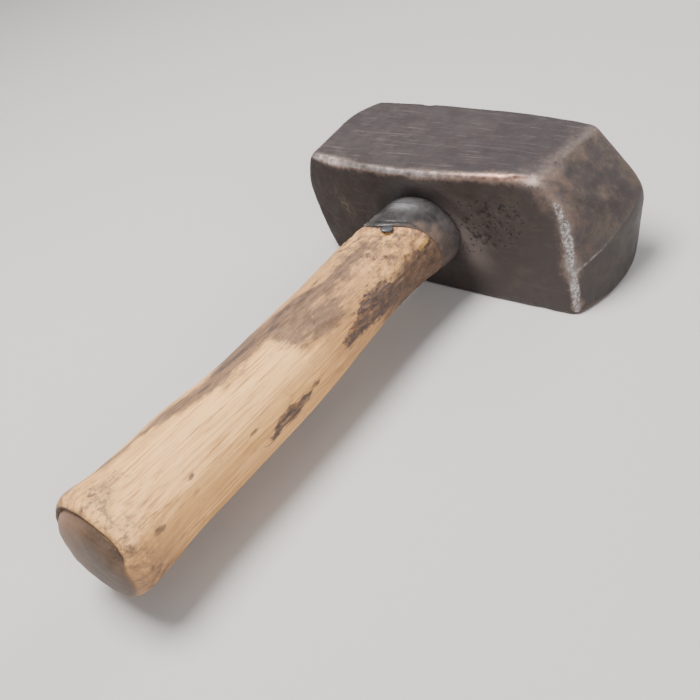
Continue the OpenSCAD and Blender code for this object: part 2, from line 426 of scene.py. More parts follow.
def make_head():
    grid, faces = box_sphere((HALF_LENGTH - 2, HALF_DEPTH - 1, HALF_HEIGHT - 1), HEAD_SPACING)
    faces = np.array(faces)
    side = np.where(grid[:, 1] < 0, -1.0, 1.0)
    # Directions from the middle reach every face, because the block is convex enough.
    direction = grid / np.linalg.norm(grid, axis=1, keepdims=True)
    points = onto_head(np.zeros_like(grid), direction, 90)
    flat = np.abs(grid[:, 1]) > HALF_DEPTH - 1.001
    # Open the eye: drop the quads inside its outline on both faces.
    # The outline is taken from the even grid, so that both faces lose the same quads.
    centre = (grid * (HALF_DEPTH / (HALF_DEPTH - 1)))[faces].mean(axis=1)
    on_face = flat[faces].all(axis=1)
    hole = on_face & (eye_distance(centre)[0] < 0)
    removed, faces = faces[hole], faces[~hole]
    used = np.zeros(len(points), bool)
    used[faces.reshape(-1)] = True
    inner = np.zeros(len(points), bool)
    inner[removed.reshape(-1)] = True
    rim = used & inner
    edge = eye_distance(points)[1]
    points[rim, 0], points[rim, 2] = edge[rim, 0], edge[rim, 1]
    near_rim = flat & (eye_distance(points)[0] < 5) & used
    soften_near_eye(points, faces, rim, near_rim)
    # Put the moved points back on their faces.
    moved = near_rim | rim
    start = points[moved] * (1, 0, 1)
    straight = side[moved][:, None] * (0, 1, 0)
    points[moved] = onto_head(start, straight, 40)
    normal = normals_of(points, faces)
    relief, masks = head_relief(points)
    # The eye's edge is rounded off.
    relief = relief - 0.55 * flat * bump(0, 0.7, np.maximum(eye_distance(points)[0], 0))
    points = points + normal * relief[:, None]
    half = np.array([HALF_LENGTH, HALF_DEPTH, HALF_HEIGHT])
    points = np.clip(points, -half, half)
    # Wall of the eye: rings from the near rim to the far rim, a little narrower in the middle.
    loop = rim_loop(faces, rim & (side < 0))
    far_of = match_far(grid, loop, rim & (side > 0))
    keep = np.where(used)[0]
    renumber = np.full(len(points), -1)
    renumber[keep] = np.arange(len(keep))
    a, b = points[loop], points[far_of]
    extra, rows = [], [renumber[loop]]
    for i in range(1, WALL_ROWS):
        t = i / WALL_ROWS
        ring = a * (1 - t) + b * t
        ring[:, [0, 2]] -= eye_distance(ring)[2] * WAIST * (1 - (2 * t - 1) ** 2)
        rows.append(np.arange(len(loop)) + len(keep) + (i - 1) * len(loop))
        extra.append(ring)
    rows.append(renumber[far_of])
    at = np.concatenate(rows)
    wall_points = np.concatenate(extra)
    quads = np.concatenate([renumber[faces], at[np.array(grid_faces(len(rows), len(loop)))]])
    for key in masks:
        masks[key] = np.concatenate([masks[key][keep], np.zeros(len(wall_points))])
    return make_object("head_block", np.concatenate([points[keep], wall_points]), quads.tolist(), masks)


def rim_loop(faces, rim):
    """The open edge's points in order round the eye, on the side that rim marks."""
    edges = {}
    for quad in faces[rim[faces].sum(axis=1) > 1].tolist():
        for a, b in zip(quad, quad[1:] + quad[:1]):
            if rim[a] and rim[b]:
                edges[(a, b)] = True
    follow = {b: a for a, b in edges if (b, a) not in edges}
    start = min(follow)
    loop = [start]
    while follow[loop[-1]] != start:
        loop.append(follow[loop[-1]])
    return np.array(loop)


def match_far(grid, loop, rim):
    """For each near point of the loop, the far rim point across the eye from it."""
    far = np.where(rim)[0]
    gap = grid[loop][:, None, [0, 2]] - grid[far][None][:, :, [0, 2]]
    return far[np.argmin((gap**2).sum(axis=2), axis=1)]


# ---- Handle. "along" runs from the middle of the eye to the butt, "turn" from the upper
# cheek's side (0) towards the struck end's side (+90 degrees).

RIM_BASE = 33.5
RIM_TONGUE = 8.0
SEAT_RADIUS = 10.5
SEAT_STRAIGHT = 2.0
TENON_RADIUS = 8.9
OVAL_EXTRA = 2.0
DROOP = 0.6
# Where the wood goes from its tenon's size to its size in the collar.
SEAT_FROM, SEAT_TO = 22.3, 27
# The handle is wider than high: this evens out the angles round it.
SQUASH = 0.87
# Where the rings of the butt start.
BUTT_FROM = 165.0
NAIL_TURN = math.radians(12)
NAIL_ALONG = 41.5
LEAN = np.array([-0.7071, 0.7071])
# Along, mean reach from the middle, and how far the middle has leaned up and left.
STATIONS = np.array([
    (20, 13.2, 0), (36, 13.2, 1.8), (55, 13, 2), (70, 13.25, 1), (90, 13.9, -0.1), (112, 14.1, -0.8),
    (132, 14.6, -0.4), (150, 15, -0.7), (157, 15.5, -0.9), (163, 16.1, -0.7), (172, 16.3, -0.7),
])


def stations(along, column):
    """Smooth curve through one column of the stations."""
    s, v = STATIONS[:, 0], STATIONS[:, column]
    slope = np.gradient(v, s)
    along = np.clip(along, s[0], s[-1])
    i = np.clip(np.searchsorted(s, along) - 1, 0, len(s) - 2)
    width = s[i + 1] - s[i]
    t = (along - s[i]) / width
    return (
        (2 * t**3 - 3 * t**2 + 1) * v[i]
        + (t**3 - 2 * t**2 + t) * width * slope[i]
        + (3 * t**2 - 2 * t**3) * v[i + 1]
        + (t**3 - t**2) * width * slope[i + 1]
    )


def lean_of(along):
    """Shift of the middle, in X and Z."""
    free = step(22, 38, along)[..., None]
    return free * (stations(along, 2)[..., None] * LEAN + np.array([0, -DROOP]))


def around(p):
    """How far along the handle points lie, and at what angle."""
    along = -p[:, 1]
    lean = lean_of(along)
    return along, np.arctan2((p[:, 0] - lean[:, 0]) * SQUASH, p[:, 2] - lean[:, 1])


def half_turn(turn):
    """The same angle from -180 to 180 degrees."""
    return (turn + math.pi) % (2 * math.pi) - math.pi


def rim_of(turn):
    """How far along the collar's open edge lies: it reaches furthest in a tongue on top."""
    t = half_turn(turn)
    from_tongue = t + 0.14
    width = np.where(from_tongue > 0, 0.66, 0.95)
    return RIM_BASE - 1.2 * (1 - np.cos(t)) + RIM_TONGUE * bump(0, width, from_tongue)


def oval_point(turn, straight, half_x, half_z):
    sine, cosine = np.sin(turn), np.cos(turn)
    return straight * np.tanh(6 * sine) + half_x * sine, half_z * cosine


def seat_of(along):
    """Straight part and radius of the wood inside the eye and the collar."""
    seat = step(SEAT_FROM, SEAT_TO, along)
    return EYE_STRAIGHT * (1 - seat) + SEAT_STRAIGHT * seat, TENON_RADIUS * (1 - seat) + SEAT_RADIUS * seat


def wood_section(along, turn):
    """Plain outline of the handle, in X and Z, without dents."""
    mean = stations(along, 1)
    radius = np.sqrt(mean**2 - 1) - 1
    free = step(-0.3, 0.5, along - rim_of(turn))
    straight, inner = seat_of(along)
    straight = (1 - free) * straight
    spread = 0.35 * step(-HALF_DEPTH + 0.5, -HALF_DEPTH - 1.2, along)
    half_x = inner * (1 - free) + (radius + OVAL_EXTRA) * free + spread
    half_z = inner * (1 - free) + radius * free + spread
    x, z = oval_point(turn, straight, half_x, half_z)
    lean = lean_of(along)
    return x + lean[..., 0], z + lean[..., 1]


def spot(along, turn, centre, angle, long, wide, lean=0.0):
    """Soft oval patch on the handle: 1 in its middle, 0 outside."""
    u = (along - centre) / long
    v = (turn - math.radians(angle) - lean * (along - centre)) * 14 / wide
    return np.exp(-(u * u + v * v))


def spots(along, turn, places):
    """Sum of soft patches: along, turn in degrees, length, width, strength and any lean of each."""
    return sum(
        level * spot(along, turn, a, b, long, wide, *lean)
        for a, b, long, wide, level, *lean in places
    )


# Small dark knocks: along, turn in degrees, length, width, depth in mm.
KNOCKS = (
    (162.6, 0, 1.2, 0.9, 0.45), (143.4, 56, 1.6, 0.85, 0.45), (157.8, 69, 1.9, 1.3, 0.30),
    (122.2, 70, 1.9, 0.45, 0.3), (143.4, 28, 1.9, 0.45, 0.15), (144.2, 83, 0.6, 0.45, 0.25),
    (160.4, 12, 0.7, 0.4, 0.2), (136.0, 150, 1.8, 0.6, 0.35), (96.0, 205, 1.6, 0.7, 0.35),
    (70.0, 170, 2.4, 0.5, 0.3), (112.0, -110, 2.0, 0.5, 0.3), (151.0, -95, 1.3, 0.8, 0.35),
    (62.0, -70, 1.4, 0.5, 0.3),
)


def low_side(turn):
    """The same angle, measured on past 180 degrees on the lower side."""
    return np.where(turn < -1.2, turn + 2 * math.pi, turn)


def wood_masks(p):
    """Stains and wear on the handle, from where its points lie."""
    along, turn = around(p)
    beyond = along - rim_of(turn)
    cloud = fractal(p, (8, 13, 8), 401, 4)
    fine = fractal(p, (1.9, 3.0, 1.9), 411, 3)
    grain = fractal(p, (1.3, 26, 1.3), 421, 2)
    mix = 0.36 * cloud + 0.42 * fine + 0.22 * grain
    low = low_side(turn)
    # Grey-purple grime along the side that faces the struck end.
    grey = spots(along, low, (
        (57, 84, 6, 4.4, 1.1), (63, 77, 6, 5.2, 1.35), (69, 72, 5, 4.2, 1.3), (76, 76, 6, 3.2, 1.2),
        (82, 80, 3, 2, 0.7), (98, 84, 3.5, 1.1, 0.8, 0.01), (103, 87, 3, 1.5, 0.75),
        (108, 89, 5, 2.3, 1.05), (113, 87, 5, 2.1, 1.1, 0.012), (120, 94, 3.5, 1.5, 0.85),
        (92, 190, 14, 6, 0.9, 0.006), (140, 165, 12, 4, 0.8), (118, 230, 16, 4, 0.8, -0.004),
    ))
    grey = np.clip(0.75 * grey + 0.22 * cloud + 0.10 * fine, 0, 1.2)
    # Brown, oiled-in dirt, streaked along the grain; the patches on the left side of the grip are partly
    # painted shade.
    brown = spots(along, turn, (
        (57, 8, 6, 3.2, 0.75), (64, 5, 6, 3, 1), (75, 0, 7, 3, 1.1, -0.01), (82, -6, 6, 3.2, 1.15),
        (88, -12, 6, 3.6, 1.15), (97, -12, 7, 3.6, 1.05), (104, -12, 8, 3.4, 1),
        (113, -14, 7, 3.2, 0.85), (123, -7, 7, 2.4, 0.75), (130, -16, 7, 2.6, 0.75),
        (100, -40, 14, 5, 0.75), (141, -24, 9, 3.2, 0.62), (153, -30, 7, 3.2, 0.60),
        (75, 26, 8, 6, 0.55), (88, 22, 8, 7.5, 0.85), (80, 42, 6, 4, 0.45), (48, 12, 5, 5, 0.4),
        (78, -120, 22, 9, 0.8), (128, -140, 18, 7, 0.7), (150, 200, 12, 8, 0.5), (95, 12, 5, 3.5, 0.55),
    ))
    brown = np.clip(0.80 * brown + 0.22 * cloud + 0.08 * fine, 0, 1.3)
    dark = step(0.42, 0.80, spots(along, turn, (
        (70, -12, 5, 1.5, 0.7), (78, -8, 5, 1.7, 0.85), (88, -18, 6, 2, 0.95), (94, -5, 6, 2, 0.95),
        (103, -16, 6, 1.9, 0.95), (113, -20, 6, 1.6, 0.85), (122, -8, 5, 1.2, 0.65),
    )) + 0.55 * mix)
    # Wood stained smooth brown where it meets the collar, on the lower side.
    reach = np.interp(along, [30, 48, 55, 62, 68, 74], [0.98, 1.05, 1.25, 1.48, 1.75, 2.2])
    soaked = step(-0.10, 0.12, low - reach + 0.09 * fine + 0.10 * cloud) * step(2.9, 2.3, low)
    soaked *= step(40, 22, beyond + 4 * cloud)
    # Grimy, flaking wood next to the collar, and a brown glaze up to where the palm has cleaned it.
    grimy = step(72, 54, along + 6 * cloud) * (0.70 + 0.30 * step(-0.3, 0.5, cloud + 0.4 * fine))
    glaze_and_shade = step(96, 84, along + 4 * cloud + 0.06 * np.degrees(np.abs(turn - 0.6)))
    grimy = np.maximum(grimy, 0.72 * step(155, 166, along + 5 * cloud) * step(172, 166, along))
    # Painted shade in the same mask: darker on the left side and underneath, and on the lower right side
    # near the butt.
    away = np.maximum(step(-0.30, -1.0, turn), step(2.1, 2.9, np.abs(turn)))
    glaze_and_shade = np.maximum(glaze_and_shade, 0.8 * away * step(-0.7, 0.3, cloud))
    glaze_and_shade = np.maximum(glaze_and_shade, 1.8 * step(1.05, 1.65, turn + 0.1 * cloud) * step(146, 165, along))
    yellow = spots(along, turn, ((36.5, 60, 1.6, 1.5, 1.1), (39.5, 58, 1.6, 2, 0.8)))
    yellow = step(0.40, 0.75, yellow + 0.45 * fine)
    # Tan wood laid bare beside the stains.
    tan = spots(along, low, (
        (44, 52, 5, 3, 0.9), (50, 59, 6, 2.6, 1.1), (58, 58, 6, 2.8, 1.1), (65, 55, 5, 2.8, 1),
        (55, 36, 8, 5, 0.55), (72, 91, 9, 2.2, 0.9), (85, 62, 6, 2.6, 0.7), (112, 70, 16, 3.5, 0.7),
        (150, 74, 13, 5, 0.9), (150, 78, 2.5, 1.8, 0.5), (164, 10, 4, 12, 0.8), (135, 70, 12, 5, 0.5),
    ))
    tan = step(0.30, 1.0, tan + 0.6 * mix)
    # Palm-polished middle, lighter along the top: partly polish, partly painted light on the side that
    # faces up.
    edge = along - 92 - 5 * fine - 3 * cloud + 0.12 * np.degrees(np.abs(turn - 0.7))
    polish_and_light = step(-2.5, 6, edge) * (0.55 + 0.45 * step(165, 112, along))
    polish_and_light *= step(1.35, 0.55, turn + 0.15 * cloud) * step(-0.25, 0.35, turn + 0.1 * cloud)
    flecks, lot = cells(p, (2.0, 4.2, 2.0), 431)
    busy = bump(54, 15, along) + 0.7 * bump(162, 8, along)
    fleck = step(0.32, 0.10, flecks + 0.12 * fine) * step(0.70, 0.92, lot + 0.30 * busy - 0.1)
    knock = np.zeros(len(p))
    for centre, angle, long, wide, depth in KNOCKS:
        deep = min(1.0, depth / 0.4)
        for place in (low, turn):
            level = spot(along, place, centre, angle, long, wide)
            knock = np.maximum(knock, deep * step(0.20, 0.90, level + 0.45 * fine * (level > 0.05)))
    return {
        "grey": grey, "brown": brown, "dark": dark, "soaked": soaked,
        "collar_line": step(1.5, 0.2, beyond + 0.6 * fine),
        "yellow": yellow, "polish_and_light": polish_and_light, "fleck": fleck, "knock": knock, "tan": tan,
        "grimy": grimy, "glaze_and_shade": glaze_and_shade,
    }


def wood_relief(p, along, turn):
    """Grain, dents, checks and knocks, in mm outwards, for the part outside the head."""
    grain = fractal(p, (1.1, 34, 1.1), 441, 3, 0.6)
    waves = fractal(p, (12, 26, 12), 451, 2)
    fibre = fractal(p, (0.8, 5, 0.8), 461, 2)
    open_part = step(0.4, 2.5, along - rim_of(turn))
    relief = open_part * (0.075 * grain + 0.22 * waves + 0.03 * fibre)
    # Long checks that open towards the butt.
    check = noise(p, (2.6, 60, 2.6), 471)
    towards_butt = step(120, 160, along)
    relief -= open_part * (0.12 + 0.25 * towards_butt) * bump(0.0, 0.045, check)
    turned = low_side(turn)
    for centre, angle, long, wide, depth in KNOCKS:
        place = turned if angle > 90 else turn
        relief -= depth * spot(along, place, centre, angle, long, wide)
    # Ridge left by the spokeshave on the lower corner of the flare.
    relief += 0.55 * step(128, 158, along) * bump(math.radians(62), 0.22, turn)
    # Rubbed and splintered next to the collar.
    splinter = fractal(p, (1.4, 3.2, 1.4), 481, 3)
    near_collar = step(66, 50, along)
    relief += open_part * 0.24 * near_collar * splinter
    # Hollow under the nail's lower lip.
    away = np.hypot((along - NAIL_ALONG - 2.0) / 1.5, (turn - NAIL_TURN) * 13 / 2.3)
    relief -= 0.9 * np.exp(-(away**2)) * open_part
    return relief


def lip_of(turn):
    """How sharp the butt's rolled lip is: it runs over the top and ends at the lower corner."""
    t = half_turn(turn)
    return np.clip(0.5 + 0.75 * np.cos(t - math.radians(5)), 0, 1) * step(1.50, 1.05, t)


def butt_rings(turn):
    """Last rings of the handle: a rolled bead and an inset, domed face, softer on the lower side."""
    lip = lip_of(turn)
    sharp = [
        (165, 0), (166, 0.25), (166.9, 0.7), (167.6, 1.3), (167.85, 1.8), (167.4, 2.15), (166.9, 2.45),
        (167.1, 2.8), (168.1, 3.2), (169.3, 4.0), (170.3, 5.0), (170.9, 6.5), (171.3, 8.4), (171.6, 10.6),
        (171.7, 12.6),
    ]
    soft = [
        (165.0, 0.0), (166.2, 0.08), (167.4, 0.28), (168.5, 0.65), (169.4, 1.2), (170.1, 1.9), (170.6, 2.7),
        (170.95, 3.6), (171.2, 4.6), (171.4, 5.8), (171.55, 7.0), (171.65, 8.4), (171.75, 10.0),
        (171.8, 11.6), (171.8, 13.0),
    ]
    for (s1, d1), (s2, d2) in zip(sharp, soft):
        yield s1 * lip + s2 * (1 - lip), d1 * lip + d2 * (1 - lip)


def butt_outline(turn):
    """Outline of the wood where the butt's rings start, about its middle, and that middle."""
    middle = lean_of(np.array([BUTT_FROM]))[0]
    x, z = wood_section(np.full(len(turn), BUTT_FROM), turn)
    return x - middle[0], z - middle[1], middle


def make_handle():
    columns = 200
    turn = circle(columns)
    # Flat sawn end of the tenon, from its middle out, then round its edge, then the shaft.
    sawn = ((0.12, 0), (0.3, 0), (0.48, 0), (0.64, 0), (0.78, 0), (0.89, 0), (0.96, 0.1), (0.99, 0.28))
    shaft = np.concatenate([
        np.arange(-TENON_END + 0.5, 29, 0.85), np.arange(29, 68, 0.42), np.arange(68, 164.6, 0.8),
    ])
    rings = []
    for share, at in [(share, back - TENON_END) for share, back in sawn] + [(1, at) for at in shaft]:
        s = np.full(columns, at)
        x, z = wood_section(s, turn)
        rings.append(np.stack([x * share, -s, z * share], 1))
    x, z, middle = butt_outline(turn)
    reach = np.hypot(x, z)
    for s, inset in butt_rings(turn):
        share = np.maximum(reach - inset, 0.4) / reach
        rings.append(np.stack([middle[0] + x * share, -s, middle[1] + z * share], 1))
    rows = len(rings)
    points = np.concatenate(rings)
    normal = normals_of(points, grid_faces(rows, columns))
    along, angle = around(points)
    relief = wood_relief(points, along, angle)
    on_butt = step(166.5, 168.5, along)
    on_tenon = step(-HALF_DEPTH + 1, -HALF_DEPTH - 1, along)
    relief = relief * (1 - 0.8 * on_butt)
    relief += on_butt * 0.10 * fractal(points, 3, 491, 3)
    relief += on_tenon * 0.10 * fractal(points, (1.3, 9, 1.3), 501, 2)
    points = points + normal * relief[:, None]
    points[:, 1] = np.clip(points[:, 1], -BUTT_END, TENON_END)
    return loft("handle_shaft", points.reshape(rows, columns, 3))


def paint_handle(handle):
    """Masks of the handle once the wedges have been cut out of it."""
    count = len(handle.data.vertices)
    flat = np.empty(count * 3)
    handle.data.vertices.foreach_get("co", flat)
    p = flat.reshape(-1, 3) / MM - np.array([0, 0, MID_Z])
    masks = wood_masks(p)
    along, turn = around(p)
    x, z, middle = butt_outline(turn)
    inset = np.hypot(x, z) - np.hypot(p[:, 0] - middle[0], p[:, 2] - middle[1])
    masks["end_grain"] = np.maximum(
        step(166.8, 167.6, along) * step(1.2, 2.2, inset),
        step(-TENON_END + 0.9, -TENON_END + 0.3, along),
    )
    # Painted shade in the crease under the butt's rolled lip.
    masks["lip"] = lip_of(turn) * step(166.4, 167.0, along) * bump(2.3, 0.85, inset)
    masks["end_warm"] = step(5, -11, p[:, 0] - 0.3 * p[:, 2])
    paint_masks(handle.data, masks)
    handle.data.shade_smooth()


# ---- Collar, nail and wedges

# Room between the collar and the wood under it.
COLLAR_GAP = 0.12
# Share of the way from the head to the rim, and outer radius: a domed shoulder, a
# groove before the rim and a rolled lip.
COLLAR_LINE = (
    (0.000, 11.3), (0.015, 12.1), (0.045, 12.8), (0.10, 13.3), (0.17, 13.62), (0.25, 13.72),
    (0.34, 13.62), (0.44, 13.35), (0.54, 13.05), (0.64, 12.82), (0.72, 12.68), (0.78, 12.58),
    (0.82, 12.46), (0.845, 12.26), (0.87, 12.28), (0.895, 12.52), (0.93, 12.66), (0.965, 12.62),
    (0.99, 12.42), (1.0, 12.0),
)


def ring_about(along, x, z):
    """Ring of points moved by the lean of the handle."""
    lean = lean_of(along)
    return np.stack([x + lean[:, 0], -along, z + lean[:, 1]], 1)


def make_collar():
    columns = 240
    turn = circle(columns)
    share, radius = np.array(COLLAR_LINE).T
    fine = np.concatenate([np.linspace(a, b, 4, endpoint=False) for a, b in zip(share[:-1], share[1:])])
    fine = np.append(fine, 1.0)
    outer = np.interp(fine, share, radius)
    outer = np.convolve(np.pad(outer, 2, mode="edge"), [0.1, 0.2, 0.4, 0.2, 0.1], mode="valid")
    begin = HALF_DEPTH - 0.55
    ragged = 0.35 * fractal(np.stack([np.cos(turn) * 13, turn * 0, np.sin(turn) * 13], 1), 5, 511, 3)
    end = rim_of(turn) + ragged
    # On the side towards the struck end the lip has been hammered flush.
    flush = step(0.20, 0.95, turn) * step(3.0, 2.4, turn)
    plain_line = np.interp(fine, [0, 0.045, 0.2, 0.6, 1], [11.0, 11.8, 12.2, 12.0, 11.5])
    rings = []
    for u, r, even in zip(fine, outer, plain_line):
        r = r * (1 - flush) + even * flush
        rings.append(ring_about(begin + (end - begin) * u, *oval_point(turn, 0.0, r + OVAL_EXTRA, r)))
    outside = len(rings)
    for u in np.linspace(1, 0, 16):
        s = begin + (end - begin) * u - 0.15 * (u > 0.99)
        straight, inner = seat_of(s)
        rings.append(ring_about(s, *oval_point(turn, straight, inner + COLLAR_GAP, inner + COLLAR_GAP)))
    rows = len(rings)
    points = np.concatenate(rings)
    faces = grid_faces(rows, columns, closed_rows=True)
    normal = normals_of(points, faces)
    shown = np.repeat(np.arange(rows) < outside, columns)
    u = np.repeat(np.append(fine, np.zeros(rows - outside)), columns)
    relief = 0.10 * fractal(points, 5.5, 521, 3) + 0.035 * fractal(points, 1.4, 531, 2)
    # Crumpled where the tongue was beaten down, left of the nail.
    angle = half_turn(np.tile(turn, rows))
    crumple = bump(-0.55, 0.35, angle) * step(0.45, 0.8, u)
    relief += crumple * 0.35 * fractal(points, 1.8, 541, 2)
    relief = relief * shown * step(0.0, 0.08, u)
    points = points + normal * relief[:, None]
    calm = np.tile(flush, rows)
    past = angle - (0.95 - 0.45 * u) + 0.26 * fractal(points, 3.2, 546, 4)
    masks = {
        "wear": (0.6 * bump(0.27, 0.16, u) + 0.8 * bump(0.95, 0.03, u)) * (1 - calm),
        # Dark in the groove before the rim, and painted shade where the collar meets the head.
        "grime": np.clip((bump(0.85, 0.02, u) + step(0.10, 0.0, u)) * (1 - 0.9 * calm * (u > 0.3)), 0, 1),
        "crumple": crumple,
        # The lower right side, browned: partly stain, partly painted shade, darkest by the head.
        "stained": step(-0.30, 0.25, past) * step(3.0, 2.4, angle),
        "outer": step(0.25, 0.95, u + 0.12 * fractal(points, 4, 548, 3)),
        # Painted highlight on top of the collar's dome.
        "dome": bump(-0.12, 0.27, angle) * bump(0.36, 0.15, u),
    }
    return make_object("collar_sleeve", points, faces, {key: shown * v for key, v in masks.items()})


def surface_frame(along, turn):
    """Point on the plain wood and its outward direction, in the XZ plane."""
    s = np.array([along, along, along])
    t = np.array([turn - 0.01, turn, turn + 0.01])
    x, z = wood_section(s, t)
    tangent = np.array([x[2] - x[0], z[2] - z[0]])
    tangent /= np.linalg.norm(tangent)
    return np.array([x[1], -along, z[1]]), np.array([-tangent[1], 0, tangent[0]])


def make_nail():
    """Hammered nail: a domed, lopsided head, set half over the collar's edge."""
    base, out = surface_frame(NAIL_ALONG, NAIL_TURN)
    columns = 48
    turn = circle(columns)
    profile = (
        (0.12, -6.5), (0.5, -5.6), (0.85, -4.4), (0.95, -2.4), (0.95, -0.5), (1.4, -0.3), (1.8, -0.15),
        (1.98, 0.05), (2, 0.22), (1.9, 0.4), (1.7, 0.54), (1.4, 0.64), (1.05, 0.7), (0.7, 0.74),
        (0.3, 0.76),
    )
    side = np.array([0.0, -1.0, 0.0])
    across = np.cross(out, side)
    wobble = 1 + 0.07 * np.cos(2 * turn + 0.8) + 0.04 * np.cos(3 * turn + 2)
    rings = []
    for r, h in profile:
        tilt = 0.16 * r * np.cos(turn)
        rings.append(
            base
            + (r * wobble * np.cos(turn))[:, None] * side
            + (r * wobble * np.sin(turn))[:, None] * across
            + (h + tilt * (h > -0.5))[:, None] * out
        )
    points = np.concatenate(rings)
    height = np.repeat([h for _, h in profile], columns)
    points = points + (0.06 * fractal(points, 1.2, 551, 2) * (height > 0))[:, None] * out
    return loft("nail_domed", points.reshape(-1, columns, 3), {"wear": step(0.1, 0.9, height)})


def make_wedge(name, middle, tip, butt, ends, spacing, rounding, rough, seed):
    """Tapered wedge with softened edges: half sizes in X and Z at its tip and at its driven end."""
    tip, butt = np.array(tip), np.array(butt)
    length = ends[1] - ends[0]
    half = np.array([butt[0], length / 2, butt[1]])
    points, faces = box_sphere(half, spacing)
    inner = np.clip(points, -(half - rounding), half - rounding)
    away = points - inner
    size = np.linalg.norm(away, axis=1, keepdims=True)
    points = inner + away / np.maximum(size, 1e-9) * rounding
    t = (points[:, 1] + length / 2) / length
    points[:, [0, 2]] *= (tip + (butt - tip) * t[:, None]) / butt
    points[:, 0] += middle
    points[:, 1] += (ends[0] + ends[1]) / 2
    normal = normals_of(points, faces)
    driven = step(0.9, 0.99, t)
    relief = rough * fractal(points, (1.4, 2.2, 1.4), seed, 3) - 0.05 * rough
    points = points + normal * (relief * (0.25 + 0.75 * driven))[:, None]
    points[:, 1] = np.minimum(points[:, 1], ends[1])
    edge = np.clip(1.6 * driven * (size[:, 0] < rounding * 0.999) + 0.4 * driven, 0, 1)
    return make_object(name, points, faces, {"wear": edge, "driven": driven})


def cut(target, cutters):
    """Takes the cutters' solids out of the target and removes them."""
    for cutter in cutters:
        tool = target.modifiers.new("cut", "BOOLEAN")
        tool.operation = "DIFFERENCE"
        tool.solver = "EXACT"
        tool.object = cutter
    graph = bpy.context.evaluated_depsgraph_get()
    mesh = bpy.data.meshes.new_from_object(target.evaluated_get(graph))
    target.modifiers.clear()
    target.data = mesh
    for cutter in cutters:
        bpy.data.objects.remove(cutter)


# ---- Materials


class Paint:
    """Short way to wire up one material's nodes. Sizes are in millimetres."""

    def __init__(self, name, specular=0.5):
        self.material = bpy.data.materials.new(name)
        self.material.use_nodes = True
        self.tree = self.material.node_tree
        self.shader = self.tree.nodes["Principled BSDF"]
        self.feed(self.shader, {"Specular IOR Level": specular})
        place = self.node("ShaderNodeTexCoord").outputs["Object"]
        scale = {0: place, "Scale": 1 / MM}
        self.place = self.node("ShaderNodeVectorMath", scale, operation="SCALE").outputs[0]
        self.spot = 0

    def node(self, kind, inputs=None, **settings):
        made = self.tree.nodes.new(kind)
        for key, value in settings.items():
            setattr(made, key, value)
        self.feed(made, inputs or {})
        return made

    def feed(self, node, inputs):
        """Links or plain values for a node's inputs. A colour is given as three numbers."""
        for key, value in inputs.items():
            socket = node.inputs[key]
            if isinstance(value, bpy.types.NodeSocket):
                self.tree.links.new(value, socket)
            elif socket.type == "RGBA":
                socket.default_value = (*value, 1)
            else:
                socket.default_value = value

    def moved(self, shift, scale=(1, 1, 1)):
        """Place on the piece, scaled and then shifted."""
        inputs = {0: self.place, "Location": shift, "Scale": scale}
        return self.node("ShaderNodeMapping", inputs).outputs[0]

    def noise(self, size, detail, rough, warp=0.0):
        """Noise from 0 to 1 with features of the given size along X, Y and Z."""
        size = size if isinstance(size, tuple) else (size, size, size)
        # Each noise looks at a place of its own.
        self.spot += 1
        place = self.moved([self.spot * far for far in (7.3, 3.1, 5.7)], [1 / s for s in size])
        inputs = {"Vector": place, "Scale": 1, "Detail": detail, "Roughness": rough, "Distortion": warp}
        return self.node("ShaderNodeTexNoise", inputs).outputs["Fac"]

    def mask(self, name, level=None):
        """One of the masks stored with the mesh, times a level."""
        value = self.node("ShaderNodeAttribute", attribute_name=name).outputs["Fac"]
        return value if level is None else self.times(value, level)

    def maths(self, operation, a, b, clamp=False):
        return self.node("ShaderNodeMath", {0: a, 1: b}, operation=operation, use_clamp=clamp).outputs[0]

    def times(self, a, b):
        return self.maths("MULTIPLY", a, b)

    def plus(self, a, b, clamp=False):
        return self.maths("ADD", a, b, clamp)

    def minus(self, a, b, clamp=False):
        return self.maths("SUBTRACT", a, b, clamp)

    def larger(self, a, b):
        return self.maths("MAXIMUM", a, b)

    def swing(self, value, amount):
        """Noise turned into a change to either side of nothing."""
        return self.times(self.minus(value, 0.5), amount)

    def rise(self, value, low, high, to_low=0.0, to_high=1.0):
        """Smooth change from to_low to to_high as value goes from low to high."""
        if low > high:
            low, high, to_low, to_high = high, low, to_high, to_low
        inputs = {"Value": value, "From Min": low, "From Max": high, "To Min": to_low, "To Max": to_high}
        return self.node("ShaderNodeMapRange", inputs, interpolation_type="SMOOTHSTEP").outputs[0]

    def mix(self, share, a, b):
        return self.node("ShaderNodeMix", {0: share, 6: a, 7: b}, data_type="RGBA").outputs[2]

    def blend(self, value, low, high, a, b):
        """Colour that goes from a to b as the value goes from low to high."""
        return self.mix(self.rise(value, low, high), a, b)

    def coat(self, share, colour):
        """Lays a colour over the ones before it."""
        self.colour = self.mix(share, self.colour, colour)

    def patch(self, value, low, high, most, colour):
        """Lays a colour where the value goes from low to high, by at most the given share."""
        self.coat(self.rise(value, low, high, 0, most), colour)

    def ramp(self, value, *stops):
        made = self.node("ShaderNodeValToRGB", {0: value})
        elements = made.color_ramp.elements
        while len(elements) < len(stops):
            elements.new(0.5)
        for element, (at, *colour) in zip(elements, stops):
            element.position = at
            element.color = (*colour, 1)
        return made.outputs[0]

    def bump(self, height, distance, strength, under=None):
        inputs = {"Strength": strength, "Distance": distance * MM, "Height": height}
        if under is not None:
            inputs["Normal"] = under
        return self.node("ShaderNodeBump", inputs).outputs[0]

    def finish(self, roughness, metallic, normal):
        self.feed(self.shader, {
            "Base Color": self.colour, "Roughness": roughness, "Metallic": metallic, "Normal": normal,
        })
        return self.material


